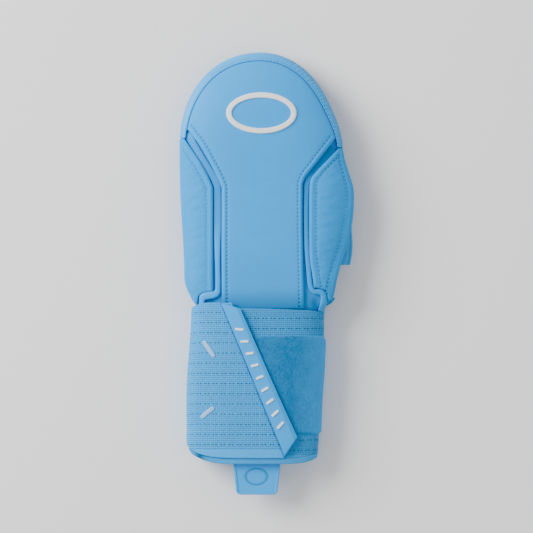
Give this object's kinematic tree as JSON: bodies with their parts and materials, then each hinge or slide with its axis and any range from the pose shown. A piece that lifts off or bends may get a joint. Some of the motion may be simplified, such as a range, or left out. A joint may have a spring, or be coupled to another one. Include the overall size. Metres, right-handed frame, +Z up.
{
  "type": "sliding mitt",
  "caption": "Padded left-hand mitt for a sliding base runner: domed finger guard, stitched back pads, thumb hole and wide wrapped wrist strap.",
  "frame": {"origin": "on the ground plane, under the middle of the mitt's box, as it lies palm down", "axes": "+X to the thumb's side, +Y to the fingertips, +Z up out of the back of the hand"},
  "size_m": [0.1396, 0.3537, 0.0414],
  "materials": {
    "shell": "padded plate in smooth knitted cloth, matte",
    "pad": "smooth satin moulded skin over foam",
    "side_pad": "matte woven cloth, stitched along its rim",
    "trim": "glossy moulded band",
    "knit": "stretch knit, matte",
    "elastic": "ribbed elastic webbing with rows of pin holes",
    "loop": "brushed loop pile, velvety",
    "moulded": "soft satin rubber-like moulding",
    "white_print": "raised white print, satin",
    "pale_print": "raised pale blue print, satin"
  },
  "bodies": {
    "root": {"palm_shell": "shell", "back_shell": "shell", "side_gusset": "knit", "thumb_gusset": "knit", "wrist_gusset": "knit", "palm_binding": "knit", "fingertip_guard": "pad", "centre_panel": "pad", "side_panel_left": "side_pad", "side_panel_right": "side_pad", "channel_trim_left": "trim", "channel_trim_right": "trim", "wrist_cuff": "knit", "cuff_hem": "knit", "wrist_strap": "elastic", "loop_patch": "loop", "strap_end_strip": "moulded", "strap_bar_upper": "pale_print", "strap_bar_lower": "pale_print", "strip_bar_1": "white_print", "strip_bar_2": "white_print", "strip_bar_3": "white_print", "strip_bar_4": "white_print", "strip_bar_5": "white_print", "strip_bar_6": "white_print", "strip_bar_7": "white_print", "strip_bar_8": "white_print", "strip_bar_9": "white_print", "oval_ring": "white_print", "pull_tab": "moulded"}
  },
  "joints": []
}
